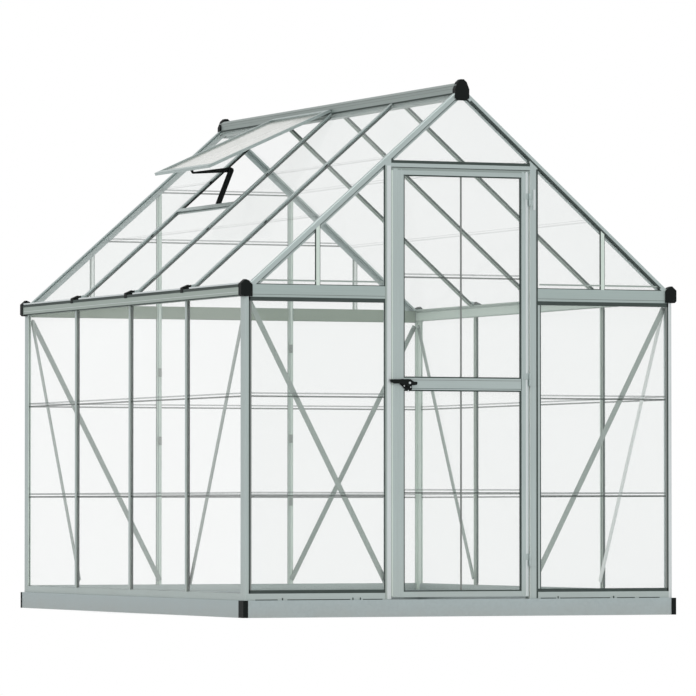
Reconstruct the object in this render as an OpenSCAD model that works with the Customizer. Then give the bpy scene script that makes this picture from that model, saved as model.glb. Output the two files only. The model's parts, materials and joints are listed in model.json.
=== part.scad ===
// Hobby greenhouse: a steel base, aluminium glazing bars, clear ribbed sheets,
// a hinged door in the front gable and a propped roof vent.
// The origin is at the middle of the footprint, on the ground. The door faces -Y.

/* [House] */
// Width over the base
base_w = 1830; // [1750:10:2000]
// Length over the base
base_l = 2470; // [2300:10:3000]
// Height of the base
base_h = 66; // [50:1:78]
// Height where the roof's outer plane meets the wall's outer plane
foot_h = 1258; // [1254:1:1264]
// Height of the peak of the roof's outer planes
peak_h = 2048; // [2032:1:2120]
// Set-back of the walls from the base's outer faces
wall_inset = 10; // [6:1:14]

/* [Glazing bars] */
// Width of the outer face of a corner post or rafter
face_w = 20; // [18:1:24]
// Width of the outer face of a bar between two panes
tee_w = 18; // [16:1:22]
// Depth of every bar, from its outer face to its inner edge
bar_d = 16; // [14:1:20]
// Thickness of a pane
pane_t = 4; // [3:0.5:5]
// How far a pane goes in behind a bar's face
pane_in = 5; // [4:1:6]
// Height of the face of the rail that the walls stand in
sill_h = 26; // [20:1:34]
// Height of the face of the ties between wall and gable
tie_h = 48; // [40:1:52]

/* [Door] */
// Width of the door leaf
door_w = 577; // [555:1:590]
// Height of the door leaf
door_h = 1650; // [1600:1:1660]
// Gap round the door leaf
door_gap = 6; // [5:0.5:9]
// Width of the stile on the latch side
latch_stile_w = 46; // [36:1:56]
// Width of the stile on the hinge side
hinge_stile_w = 31; // [28:1:44]

/* [Vent] */
// Length of the vent leaf down the slope
vent_len = 576; // [560:1:600]
// Angle between the open vent leaf and the roof
vent_open = 16.9; // [10:0.2:18]

/* [Hidden] */
$fn = 48;

silver = [0.63, 0.68, 0.67];
inner_silver = [0.58, 0.62, 0.58];
galvanised = [0.62, 0.67, 0.67];
black = [0.09, 0.11, 0.11];
clear = [0.86, 0.92, 0.90, 0.35];

// Walls and roof planes
half_x = base_w / 2 - wall_inset;
half_y = base_l / 2 - wall_inset;
pitch = atan((peak_h - foot_h) / half_x);
side_bays = 4;
bay = 2 * half_y / side_bays;
far = 4000;

// Layers of a glazed wall, from the outside in: lip, pane, flange, web
lip_t = 4;
flange_t = 3;
flange_w = 3;
rafter_flange_w = 12;
tee_flange_w = 2;
web_w = 8;
pane_back = lip_t + pane_t;
flange_back = pane_back + flange_t;
tee_neck = tee_w / 2 - pane_in;
angle_reach = face_w + rafter_flange_w;
inner_y = half_y - angle_reach;
easing = 3;
post_chamfer = 4;
// Legs of a corner post on the end wall and on the side wall
end_leg = 15;
side_leg = 46;

// Levels
sill_top = base_h + sill_h;
eave_bottom = 1228;
tie_z = 1222;
tie_top = tie_z + tie_h;
gutter_out = 16;
gutter_top = 1266;
trough_z = 1250;
gutter_t = 3;
ridge_half = 24;
ridge_bottom = peak_h - 45;
ridge_top = peak_h + 15;

// Roof bars run between these distances up the slope
slope_lo = face_w / cos(pitch);
slope_hi = (half_x - ridge_half - pane_back * sin(pitch)) / cos(pitch);

// Base profile
base_t = 3;
base_top_w = 46;
base_foot_w = 30;
cover_end_leg = 20;
cover_side_leg = [50, 12];
cover_t = 2;

// Door, with x1 at the hinges and x0 at the latch
threshold_gap = 9;
door_z = base_h + threshold_gap;
door_top = door_z + door_h;
leaf_x1 = 285;
leaf_x0 = leaf_x1 - door_w;
door_post_w = 32;
post_out = leaf_x1 + door_gap + door_post_w;
door_d = 16;
stop_y = door_d + 5;
stop_t = 3;
stop_in = 12;
slot_z = 8;
door_top_rail = 23;
door_bottom_rail = 21;
mid_rail_z = 873;
mid_rail_h = 46;
header_z = door_top + door_gap;
header_h = 17;

// Hinges and latch
hinge_x = leaf_x1 + door_gap / 2;
hinge_y = -5;
knuckle_r = 4.5;
pin_r = 2;
pin_play = 0.05;
knuckle_l = 24;
pin_short = 2;
hinge_levels = [216, 916, 1616];
hinge_plate_w = 24;
hinge_plate_t = 2;
hinge_plate_in = 2;
latch_x = -226;
latch_z = 899;
latch_plate_t = 6;
lever_t = 7;
lever_gap = 0.4;
stub_r = 4;

// Gable
gable_bar_x = 604;
gable_bar_w = 15;
gable_neck = gable_bar_w / 2 - pane_in;
gable_back_w = 9;
gable_back_t = 4;
back_post_x = 302;

// Vent, in the third bay of the left slope
vent_sill_s = 584;
vent_sill_h = 20;
vent_x0 = 6;
vent_x1 = bay - 6;
vent_rail_w = 16;
vent_foot_w = 22;
vent_d = 12;
vent_hook = 8;
vent_lift = 4;
stay_y = 210;
stay_w = 22;
stay_t = 5;
stay_gap = 0.6;

// Braces
brace_w = 20;
brace_t = 5;
brace_top = eave_bottom - 24;

// How much deeper than needed a cut is made
overcut = 0.001;

// ---------- placing ----------

// A wall's own frame: x along it, y into the house from its outer plane, z up.
// Walls 0 to 3 are the front, right, back and left.
module on_wall(side) {
    rotate([0, 0, side * 90])
        translate([0, -(side % 2 == 0 ? half_y : half_x), 0])
            children();
}

// A slope's own frame: x along the house, y into it from the roof's outer plane,
// z up the slope from the foot.
module on_right_slope() {
    translate([half_x, 0, foot_h])
        rotate([0, pitch, 0])
            rotate([-90, 0, 90])
                children();
}

module on_left_slope() mirror([1, 0, 0]) on_right_slope() children();

module both_sides() {
    children();
    mirror([1, 0, 0]) children();
}

module both_ends() {
    children();
    mirror([0, 1, 0]) children();
}

// An outline of (depth, height) points drawn out along a wall from x0 to x1
module along(x0, x1) {
    translate([x0, 0, 0]) rotate([90, 0, 90]) linear_extrude(x1 - x0) children();
}

// An outline of (x, height) points drawn out along the house, centred
module through(length) {
    rotate([90, 0, 0]) linear_extrude(length, center = true) children();
}

// ---------- shapes of the roof ----------

function roof_z(x) = peak_h - x * tan(pitch);
function roof_pt(s, d) =
    [half_x - s * cos(pitch) - d * sin(pitch), foot_h + s * sin(pitch) - d * cos(pitch)];

// Everything that lies at least n inside the roof's outer planes
module under_roof(n) {
    drop = n / cos(pitch);
    through(far) polygon([[0, peak_h - drop], [half_x, foot_h - drop], [half_x, 0],
                          [-half_x, 0], [-half_x, foot_h - drop]]);
}

// ---------- outlines ----------

// Corner bar with legs a and b, a pane on each of its two inner sides and flanges f wide
module angle_outline(a, b, f, chamfer) {
    polygon([[chamfer, 0], [a, 0], [a, lip_t], [a - pane_in, lip_t], [a - pane_in, pane_back],
             [a + f, pane_back], [a + f, flange_back], [bar_d, flange_back], [bar_d, bar_d],
             [flange_back, bar_d], [flange_back, b + f], [pane_back, b + f],
             [pane_back, b - pane_in], [lip_t, b - pane_in], [lip_t, b], [0, b],
             [0, chamfer]]);
}

module tee_front() {
    w = tee_w / 2;
    polygon([[-w, 0], [w, 0], [w, lip_t], [tee_neck, lip_t], [tee_neck, pane_back],
             [-tee_neck, pane_back], [-tee_neck, lip_t], [-w, lip_t]]);
}

module tee_back() {
    w = tee_w / 2 + tee_flange_w;
    polygon([[-w, pane_back], [w, pane_back], [w, flange_back], [web_w / 2, flange_back],
             [web_w / 2, bar_d], [-web_w / 2, bar_d], [-web_w / 2, flange_back],
             [-w, flange_back]]);
}

// Rail outlines in (depth, height); low and high say if a pane is below or above
module rail_front(h, low, high) {
    polygon(concat(
        [[0, 0]],
        low ? [[lip_t, 0], [lip_t, pane_in], [pane_back, pane_in]] : [[pane_back, 0]],
        high ? [[pane_back, h - pane_in], [lip_t, h - pane_in], [lip_t, h]] : [[pane_back, h]],
        [[0, h]]));
}

module rail_back(h, low, high) {
    polygon(concat(
        low ? [[pane_back, -flange_w], [flange_back, -flange_w], [flange_back, 0]]
            : [[pane_back, 0]],
        [[bar_d, 0], [bar_d, h]],
        high ? [[flange_back, h], [flange_back, h + flange_w], [pane_back, h + flange_w]]
             : [[pane_back, h]]));
}

// ---------- bars ----------

// Bar between two panes, standing from z0 to z1; its back stops short of the rails' flanges
// and by short more at the top
module tee_bar(z0, z1, short) {
    translate([0, 0, z0]) linear_extrude(z1 - z0) tee_front();
    translate([0, 0, z0 + flange_w])
        linear_extrude(z1 - z0 - 2 * flange_w - short) tee_back();
}

// Bar that stands on a rail and is cut to the roof: child 0 is the outline of its front
// and child 1 of its back
module bar_to_roof(x, z0) {
    intersection() {
        translate([x, 0, z0]) linear_extrude(peak_h - z0) children(0);
        on_wall_clip(face_w);
    }
    intersection() {
        translate([x, 0, z0 + flange_w]) linear_extrude(peak_h - z0) children(1);
        on_wall_clip(angle_reach);
    }
}

// The part of a gable wall that is at least n inside the roof
module on_wall_clip(n) {
    translate([0, half_y, 0]) under_roof(n);
}

// Rail between two uprights whose flanges reach e0 and e1 past their faces
module rail(x0, x1, e0, e1, z, h, low, high) {
    translate([0, 0, z]) {
        along(x0, x1) rail_front(h, low, high);
        along(x0 + e0, x1 - e1) rail_back(h, low, high);
    }
}

// A tie's upper flange is cut off under the rafter
module tie(x0, x1, e0, e1) {
    intersection() {
        rail(x0, x1, e0, e1, tie_z, tie_h, true, true);
        union() {
            on_wall_clip(angle_reach);
            translate([-half_x, -1, 0]) cube([2 * half_x, bar_d + 2, tie_top]);
        }
    }
}

// ---------- base ----------

module base_rail(side, run) {
    rotate([0, 0, side * 90])
        translate([0, side % 2 == 0 ? -base_l / 2 : -base_w / 2, 0])
            intersection() {
                along(-run / 2, run / 2)
                    polygon([[0, 0], [base_foot_w, 0], [base_foot_w, base_t],
                             [base_t, base_t], [base_t, base_h - base_t],
                             [base_top_w, base_h - base_t], [base_top_w, base_h],
                             [0, base_h]]);
                linear_extrude(base_h)
                    polygon([[-run / 2, 0], [run / 2, 0],
                             [run / 2 - base_top_w, base_top_w],
                             [-run / 2 + base_top_w, base_top_w]]);
            }
}

module base_front() color(galvanised) base_rail(0, base_w);
module base_right() color(galvanised) base_rail(1, base_l);
module base_back() color(galvanised) base_rail(2, base_w);
module base_left() color(galvanised) base_rail(3, base_l);

// Corner cover with legs of the given lengths along the end and along the side
module corner_cover(end_leg, side_leg) {
    translate([-base_w / 2 - cover_t, -base_l / 2 - cover_t, 0])
        linear_extrude(base_h)
            polygon([[0, 0], [end_leg, 0], [end_leg, cover_t], [cover_t, cover_t],
                     [cover_t, side_leg], [0, side_leg]]);
}

module base_corner_covers() {
    color(black) both_sides() {
        corner_cover(cover_end_leg, cover_side_leg[0]);
        mirror([0, 1, 0]) corner_cover(cover_end_leg, cover_side_leg[1]);
    }
}

// ---------- walls ----------

module side_sills() {
    run = half_y - side_leg;
    color(silver) for (side = [1, 3])
        on_wall(side) rail(-run, run, flange_w, flange_w, base_h, sill_h, false, true);
}

module front_sills() {
    color(silver) both_sides() on_wall(0)
        rail(post_out, half_x - end_leg, flange_w, flange_w, base_h, sill_h, false, true);
}

module back_sill() {
    run = half_x - end_leg;
    color(silver) on_wall(2)
        rail(-run, run, flange_w, flange_w, base_h, sill_h, false, true);
}

module corner_post() {
    translate([-half_x, -half_y, base_h])
        linear_extrude(eave_bottom - base_h)
            angle_outline(end_leg, side_leg, flange_w, post_chamfer);
}

module front_corner_posts() color(silver) both_sides() corner_post();
module back_corner_posts() color(silver) both_sides() mirror([0, 1, 0]) corner_post();

module side_posts() {
    color(silver) for (side = [1, 3], k = [1 : side_bays - 1])
        on_wall(side) translate([k * bay - half_y, 0, 0]) tee_bar(sill_top, eave_bottom, 0);
}

module back_posts() {
    color(silver) on_wall(2) both_sides() bar_to_roof(back_post_x, sill_top) {
        tee_front();
        tee_back();
    }
}

// Post whose face runs from post_in to post_out, with a stop behind the edge of the leaf
module door_post(post_in) {
    intersection() {
        translate([0, 0, base_h]) linear_extrude(peak_h)
            polygon([[post_in, 0], [post_out, 0], [post_out, lip_t],
                     [post_out - pane_in, lip_t], [post_out - pane_in, pane_back],
                     [post_in, pane_back]]);
        on_wall_clip(face_w);
    }
    intersection() {
        translate([0, 0, base_h]) linear_extrude(peak_h)
            polygon([[post_in, pane_back], [post_out + flange_w, pane_back],
                     [post_out + flange_w, flange_back], [post_out, flange_back],
                     [post_out, bar_d], [post_in + stop_t, bar_d],
                     [post_in + stop_t, stop_y + stop_t], [post_in - stop_in, stop_y + stop_t],
                     [post_in - stop_in, stop_y], [post_in, stop_y]]);
        on_wall_clip(angle_reach);
    }
}

module door_posts() {
    color(silver) on_wall(0) {
        door_post(leaf_x1 + door_gap);
        mirror([1, 0, 0]) door_post(door_gap - leaf_x0);
    }
}

module door_header() {
    x0 = leaf_x0 - door_gap;
    x1 = leaf_x1 + door_gap;
    color(silver) on_wall(0) translate([0, 0, header_z]) {
        along(x0, x1) rail_front(header_h, false, true);
        intersection() {
            along(x0, x1) rail_back(header_h, false, true);
            translate([0, 0, -header_z]) on_wall_clip(angle_reach);
        }
        // stop behind the top of the leaf
        along(x0 + stop_in, x1 - stop_in)
            polygon([[bar_d, 0], [bar_d, stop_t], [stop_y + stop_t, stop_t],
                     [stop_y + stop_t, -stop_in], [stop_y, -stop_in], [stop_y, 0]]);
    }
}

module front_ties() {
    color(silver) both_sides() on_wall(0)
        tie(post_out, half_x - face_w, flange_w, flange_w);
}

module back_ties() {
    inner = back_post_x - tee_w / 2;
    color(silver) on_wall(2) {
        rail(-inner, inner, tee_flange_w, tee_flange_w, tie_z, tie_h, true, true);
        both_sides()
            tie(back_post_x + tee_w / 2, half_x - face_w, tee_flange_w, flange_w);
    }
}

// Narrow bars that join two gable panes edge to edge
module gable_bars() {
    w = gable_bar_w / 2;
    color(silver) for (side = [0, 2])
        on_wall(side) both_sides() bar_to_roof(gable_bar_x, tie_top) {
            polygon([[-w, 0], [w, 0], [w, lip_t], [gable_neck, lip_t], [gable_neck, pane_back],
                     [-gable_neck, pane_back], [-gable_neck, lip_t], [-w, lip_t]]);
            translate([-gable_back_w / 2, pane_back]) square([gable_back_w, gable_back_t]);
        }
}

// ---------- eaves, rafters and ridge ----------

module eave_outline() {
    x = half_x - face_w;
    out = half_x + gutter_out;
    polygon([[x, eave_bottom], [x, roof_z(x)], [half_x + gutter_t, roof_z(half_x + gutter_t)],
             [half_x + gutter_t, trough_z], [out - gutter_t, trough_z],
             [out - gutter_t, gutter_top], [out, gutter_top], [out, eave_bottom]]);
}

module eave_beams() {
    x = half_x - face_w;
    color(silver) both_sides() {
        through(2 * half_y) eave_outline();
        // seat of the roof panes
        through(2 * inner_y)
            polygon([[x, roof_z(x) - pane_back / cos(pitch)],
                     roof_pt(slope_lo + flange_w, pane_back),
                     roof_pt(slope_lo + flange_w, flange_back),
                     [x, roof_z(x) - flange_back / cos(pitch)]]);
        // stop behind the wall panes
        through(2 * (half_y - side_leg - flange_w))
            translate([half_x - flange_back, eave_bottom - flange_w])
                square([flange_t, flange_w]);
    }
}

module eave_caps() {
    out = half_x + gutter_out + 3;
    plate = 6;
    wrap = 24;
    color(black) both_sides() both_ends()
        difference() {
            translate([0, -half_y + (wrap - plate) / 2, 0]) through(wrap + plate)
                polygon([[half_x - 29, eave_bottom - 5], [out - 7, eave_bottom - 5],
                         [out, eave_bottom + 2], [out, gutter_top + 6], [half_x, gutter_top + 23],
                         [half_x - 14, gutter_top + 18], [half_x - 29, gutter_top + 2]]);
            translate([0, wrap / 2 - half_y, 0]) through(wrap + overcut) {
                eave_outline();
                polygon([[half_x, 0], [half_x, foot_h], [0, peak_h], [0, 0]]);
            }
        }
}

// Rafters are cut at the eave beam, the tie's top, the ridge beam and near the middle
module rafter() {
    middle = 2;
    above = peak_h + 100;
    intersection() {
        on_right_slope() translate([-half_y, 0, 0]) linear_extrude(2 * half_x)
            angle_outline(face_w, face_w, rafter_flange_w, easing);
        through(far)
            polygon([[middle, tie_top], [half_x - face_w, tie_top], [half_x - face_w, above],
                     [ridge_half, above], [ridge_half, ridge_bottom], [middle, ridge_bottom]]);
    }
}

module front_rafters() color(silver) both_sides() rafter();
module back_rafters() color(silver) both_sides() mirror([0, 1, 0]) rafter();

module roof_bars() {
    color(silver) both_sides() for (k = [1 : side_bays - 1])
        on_right_slope() translate([k * bay - half_y, 0, 0])
            tee_bar(slope_lo, slope_hi, (bar_d - pane_back) * tan(pitch));
}

// Caps that sit on the foot of each roof bar and hook over the gutter's edge
module bar_end_caps() {
    out = half_x + gutter_out;
    seat = half_x - face_w + 2;
    color(black) both_sides() for (k = [1 : side_bays - 1])
        translate([0, k * bay - half_y, 0]) through(27)
            polygon([[out + 0.2, gutter_top - 9], [out + 3, gutter_top - 9],
                     [out + 3, gutter_top + 11], [half_x + 5, gutter_top + 18],
                     [seat, gutter_top + 23], [seat, roof_z(seat) + 0.1],
                     [half_x + 1, roof_z(half_x + 1) + 0.1], [half_x + 7, gutter_top + 0.2],
                     [out + 0.2, gutter_top + 0.2]]);
}

module ridge_outline() {
    polygon([[-ridge_half, ridge_bottom], [ridge_half, ridge_bottom],
             [ridge_half, ridge_top - 8], [ridge_half - 7, ridge_top],
             [7 - ridge_half, ridge_top], [-ridge_half, ridge_top - 8]]);
}

module ridge_beam() {
    color(silver) {
        through(2 * half_y) ridge_outline();
        both_sides() through(2 * inner_y)
            polygon([[ridge_half, roof_z(ridge_half) - pane_back / cos(pitch)],
                     roof_pt(slope_hi - flange_w, pane_back),
                     roof_pt(slope_hi - flange_w, flange_back),
                     [ridge_half, roof_z(ridge_half) - flange_back / cos(pitch)]]);
    }
}

module ridge_caps() {
    half = ridge_half + 6;
    plate = 6;
    wrap = 22;
    color(black) both_ends()
        difference() {
            translate([0, -half_y + (wrap - plate) / 2, 0]) through(wrap + plate)
                polygon([[-14, ridge_bottom - 8], [14, ridge_bottom - 8], [half, ridge_bottom],
                         [half, ridge_top - 24], [19, ridge_top + 3], [7, ridge_top + 14],
                         [-7, ridge_top + 14], [-19, ridge_top + 3], [-half, ridge_top - 24],
                         [-half, ridge_bottom]]);
            translate([0, wrap / 2 - half_y, 0]) through(wrap + overcut) {
                ridge_outline();
                polygon([[0, peak_h], [half_x, foot_h], [half_x, 0], [-half_x, 0],
                         [-half_x, foot_h]]);
            }
        }
}

// ---------- braces ----------

// Flat strip on the inner faces of a wall's bars, from (x0, z0) to (x1, z1)
module brace(x0, z0, x1, z1) {
    run = norm([x1 - x0, z1 - z0]);
    translate([x0, bar_d, z0])
        rotate([0, -atan2(z1 - z0, x1 - x0), 0])
            translate([0, 0, -brace_w / 2]) cube([run, brace_t, brace_w]);
}

module side_braces() {
    outer = half_y - 38;
    inner = bay;
    foot = sill_top + 30;
    color(inner_silver) for (side = [1, 3]) on_wall(side) both_sides()
        brace(outer, brace_top, inner, foot);
}

module gable_braces() {
    outer = half_x - 26;
    front_inner = post_out - 11;
    front_foot = sill_top + 36;
    back_foot = sill_top + 20;
    color(inner_silver) {
        on_wall(0) both_sides() brace(outer, brace_top, front_inner, front_foot);
        on_wall(2) both_sides() brace(outer, brace_top, back_post_x, back_foot);
    }
}

// ---------- panes ----------

// Sheet between x0 and x1, z0 and z1, in a wall's or slope's frame
module pane(x0, x1, z0, z1) {
    translate([x0, lip_t, z0]) cube([x1 - x0, pane_t, z1 - z0]);
}

// Where the panes of a long side start and end, between end bars with faces w wide
function bay_from(k, w) = k == 0 ? -half_y + w - pane_in : k * bay - half_y + tee_neck;
function bay_to(k, w) =
    k == side_bays - 1 ? half_y - w + pane_in : (k + 1) * bay - half_y - tee_neck;

wall_z0 = sill_top - pane_in;
tie_pane_top = tie_z + pane_in;
tie_pane_bottom = tie_top - pane_in;
corner_neck = half_x - end_leg + pane_in;

module side_panes(side) {
    on_wall(side) for (k = [0 : side_bays - 1])
        pane(bay_from(k, side_leg), bay_to(k, side_leg), wall_z0, eave_bottom);
}

module glass_left() color(clear) side_panes(3);
module glass_right() color(clear) side_panes(1);

module glass_front() {
    color(clear) both_sides() on_wall(0)
        pane(post_out - pane_in, corner_neck, wall_z0, tie_pane_top);
}

module glass_back() {
    inner = back_post_x - tee_neck;
    color(clear) on_wall(2) {
        pane(-inner, inner, wall_z0, tie_pane_top);
        both_sides() pane(back_post_x + tee_neck, corner_neck, wall_z0, tie_pane_top);
    }
}

// Gable panes are cut to the rafters and stop under the ridge beam
module gable_pane(x0, x1, z0, z1) {
    intersection() {
        pane(x0, x1, z0, min(z1, ridge_bottom));
        on_wall_clip(face_w - pane_in);
    }
}

module outer_gable_panes(inner_x) {
    both_sides() {
        gable_pane(inner_x, gable_bar_x - gable_neck, tie_pane_bottom, peak_h);
        gable_pane(gable_bar_x + gable_neck, half_x, tie_pane_bottom, peak_h);
    }
}

module gable_glass_front() {
    color(clear) on_wall(0) {
        gable_pane(leaf_x0 - door_gap, leaf_x1 + door_gap, header_z + header_h - pane_in,
                   peak_h);
        outer_gable_panes(post_out - pane_in);
    }
}

module gable_glass_back() {
    inner = back_post_x - tee_neck;
    color(clear) on_wall(2) {
        gable_pane(-inner, inner, tie_pane_bottom, peak_h);
        outer_gable_panes(back_post_x + tee_neck);
    }
}

vent_bay = 2;

module roof_glass_left() {
    color(clear) on_left_slope() for (k = [0 : side_bays - 1])
        pane(bay_from(k, face_w), bay_to(k, face_w), slope_lo,
             k == vent_bay ? vent_sill_s + pane_in : slope_hi);
}

module roof_glass_right() {
    color(clear) on_right_slope() for (k = [0 : side_bays - 1])
        pane(bay_from(k, face_w), bay_to(k, face_w), slope_lo, slope_hi);
}

// ---------- vent ----------

vent_from = vent_bay * bay - half_y;

module vent_cross_rail() {
    color(silver) on_left_slope() translate([vent_from, 0, 0])
        rail(tee_w / 2, bay - tee_w / 2, tee_flange_w, tee_flange_w,
             vent_sill_s, vent_sill_h, true, false);
}

// The leaf's own frame: z runs down from the hinge as negative, y is 0 on its underside
module on_vent() {
    on_left_slope() translate([vent_from, -vent_lift, slope_hi])
        rotate([-vent_open, 0, 0]) children();
}

module vent_rails() {
    color(silver) on_vent() {
        translate([vent_x0, -vent_d, -vent_rail_w])
            cube([vent_x1 - vent_x0, vent_d, vent_rail_w + vent_hook]);
        translate([vent_x0, -vent_d, -vent_len])
            cube([vent_x1 - vent_x0, vent_d, vent_foot_w]);
    }
}

module vent_stiles() {
    run = vent_len - vent_rail_w - vent_foot_w;
    color(silver) on_vent() for (x = [vent_x0, vent_x1 - vent_rail_w])
        translate([x, 0, -vent_len + vent_foot_w]) linear_extrude(run)
            polygon([[0, 0], [vent_rail_w, 0], [vent_rail_w, -vent_d], [0, -vent_d]]);
}

module vent_glass() {
    color(clear) on_vent()
        translate([vent_x0 + vent_rail_w, -vent_d / 2 - pane_t / 2, -vent_len + vent_foot_w])
            cube([vent_x1 - vent_x0 - 2 * vent_rail_w, pane_t,
                  vent_len - vent_rail_w - vent_foot_w]);
}

// Points across the left slope, as (x, height): v runs down the leaf from its hinge, y under it
function left_of(p) = [-p[0], p[1]];
function vent_pt(v, y) = left_of(roof_pt(
    slope_hi - y * sin(vent_open) - v * cos(vent_open),
    -vent_lift + y * cos(vent_open) - v * sin(vent_open)));

// Two flat arms between a foot on the cross rail and a lug under the leaf
rail_top_s = vent_sill_s + vent_sill_h;
stay_foot = left_of(roof_pt(rail_top_s + 9, 9));
stay_elbow = [-379, 1797];
stay_head = vent_pt(vent_len - 7, 13);

// Outline of an arm from a to b, as wide as wa and wb there
module arm_outline(a, b, wa, wb) {
    run = norm(b - a);
    translate(a) rotate(atan2(b[1] - a[1], b[0] - a[0]))
        polygon([[-wa / 3, -wa / 4], [-wa / 3, wa / 4], [0, wa / 2], [run, wb / 2],
                 [run + wb / 3, wb / 4], [run + wb / 3, -wb / 4], [run, -wb / 2],
                 [0, -wa / 2]]);
}

module stay_plate(from_y) {
    translate([0, from_y + stay_t, 0]) rotate([90, 0, 0]) linear_extrude(stay_t) children();
}

// The two arms lie side by side, joined by the pin at the elbow
module vent_stay() {
    pin_end = 3;
    upper_y = stay_y + stay_t + stay_gap;
    color(black) {
        stay_plate(stay_y) {
            arm_outline(stay_foot, stay_elbow, stay_w, stay_w);
            polygon([for (p = [[0, 3], [0, 15], [9, 15], [9, 3]])
                     left_of(roof_pt(rail_top_s + p[0], p[1]))]);
        }
        stay_plate(upper_y) {
            arm_outline(stay_elbow, stay_head, stay_w - 1, 8);
            polygon([vent_pt(vent_len - 13, 0), vent_pt(vent_len - 1, 0),
                     vent_pt(vent_len - 3, 14), vent_pt(vent_len - 10, 14)]);
        }
        translate([stay_elbow[0], stay_y - pin_end, stay_elbow[1]]) rotate([-90, 0, 0])
            cylinder(r = 4, h = upper_y + stay_t - stay_y + 2 * pin_end);
    }
}

// ---------- door ----------

glass_x0 = leaf_x0 + latch_stile_w;
glass_x1 = leaf_x1 - hinge_stile_w;

// Stile of width w with a slot for the panes in its right-hand edge
module stile_outline(w) {
    polygon([[0, 0], [w, 0], [w, slot_z], [w - pane_in, slot_z],
             [w - pane_in, slot_z + pane_t], [w, slot_z + pane_t], [w, door_d], [0, door_d]]);
}

module door_stiles() {
    color(silver) on_wall(0) {
        translate([leaf_x0, 0, door_z]) linear_extrude(door_h) stile_outline(latch_stile_w);
        translate([leaf_x1, 0, door_z]) mirror([1, 0, 0])
            linear_extrude(door_h) stile_outline(hinge_stile_w);
    }
}

// Rail of height h in (depth, height), with a slot below, above or both
module leaf_rail(z, h, low, high) {
    color(silver) on_wall(0) translate([0, 0, z]) along(glass_x0, glass_x1)
        polygon(concat(
            [[0, 0]],
            low ? [[slot_z, 0], [slot_z, pane_in], [slot_z + pane_t, pane_in],
                   [slot_z + pane_t, 0]] : [],
            [[door_d, 0], [door_d, h]],
            high ? [[slot_z + pane_t, h], [slot_z + pane_t, h - pane_in],
                    [slot_z, h - pane_in], [slot_z, h]] : [],
            [[0, h]]));
}

module door_rails() {
    leaf_rail(door_z, door_bottom_rail, false, true);
    leaf_rail(mid_rail_z, mid_rail_h, true, true);
    leaf_rail(door_top - door_top_rail, door_top_rail, true, false);
}

module door_glass() {
    color(clear) on_wall(0) for (z = [[door_z + door_bottom_rail, mid_rail_z],
                                      [mid_rail_z + mid_rail_h, door_top - door_top_rail]])
        translate([glass_x0 - pane_in, slot_z, z[0] - pane_in])
            cube([glass_x1 - glass_x0 + 2 * pane_in, pane_t, z[1] - z[0] + 2 * pane_in]);
}

// Post side of each hinge: plate, lower knuckle and pin
module hinge_pins() {
    color(silver) on_wall(0) for (z = hinge_levels) {
        translate([hinge_x + hinge_plate_in, -hinge_plate_t, z - knuckle_l])
            cube([hinge_plate_w, hinge_plate_t, knuckle_l]);
        translate([hinge_x, hinge_y, z - knuckle_l]) cylinder(r = knuckle_r, h = knuckle_l);
        translate([hinge_x, hinge_y, z - knuckle_l])
            cylinder(r = pin_r, h = 2 * knuckle_l - pin_short);
    }
}

// Door side of each hinge: plate and upper knuckle with its bore
module hinge_knuckles() {
    gap = 0.5;
    color(silver) on_wall(0) for (z = hinge_levels)
        difference() {
            union() {
                translate([hinge_x - hinge_plate_in - hinge_plate_w, -hinge_plate_t, z + gap])
                    cube([hinge_plate_w, hinge_plate_t, knuckle_l]);
                translate([hinge_x, hinge_y, z + gap]) cylinder(r = knuckle_r, h = knuckle_l);
            }
            translate([hinge_x, hinge_y, z]) cylinder(r = pin_r + pin_play, h = 2 * knuckle_l);
        }
}

module latch_plate() {
    color(black) on_wall(0) translate([latch_x, 0, latch_z]) {
        rotate([90, 0, 0]) linear_extrude(latch_plate_t)
            polygon([[-40, 12], [13, 12], [13, -24], [2, -33], [-9, -32], [-23, -17],
                     [-40, -2]]);
        translate([0, -latch_plate_t, 0]) rotate([90, 0, 0]) cylinder(r = stub_r, h = lever_t);
    }
}

// Lever seen from outside: a long tapered arm to the left and a thumb knob to the right
module lever_outline() {
    difference() {
        polygon([[-81, 13], [4, 15], [12, 8], [20, 5], [31, 5], [33, 0], [31, -7], [20, -9],
                 [12, -8], [4, -14], [-8, -14], [-17, -8], [-40, -2], [-63, -3], [-79, 4]]);
        circle(r = stub_r + pin_play);
    }
}

module latch_lever() {
    color(black) on_wall(0)
        translate([latch_x, -latch_plate_t - lever_gap, latch_z])
            rotate([90, 0, 0]) linear_extrude(lever_t - lever_gap) lever_outline();
}

base_front();
base_back();
base_left();
base_right();
base_corner_covers();
side_sills();
front_sills();
back_sill();
front_corner_posts();
back_corner_posts();
side_posts();
back_posts();
door_posts();
door_header();
eave_beams();
eave_caps();
front_ties();
back_ties();
front_rafters();
back_rafters();
roof_bars();
bar_end_caps();
ridge_beam();
ridge_caps();
gable_bars();
side_braces();
gable_braces();
glass_left();
glass_right();
glass_front();
glass_back();
gable_glass_front();
gable_glass_back();
roof_glass_left();
roof_glass_right();
vent_cross_rail();
vent_rails();
vent_stiles();
vent_glass();
vent_stay();
door_stiles();
door_rails();
door_glass();
hinge_pins();
hinge_knuckles();
latch_plate();
latch_lever();
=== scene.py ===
# Looks of a hobby greenhouse: finishes, clear ribbed sheets, seals and small fittings,
# set round the fixed frame. Lengths are in metres, Z is up and the door faces -Y.

import json
import math

import bmesh
import bpy
from mathutils import Matrix, Vector


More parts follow.
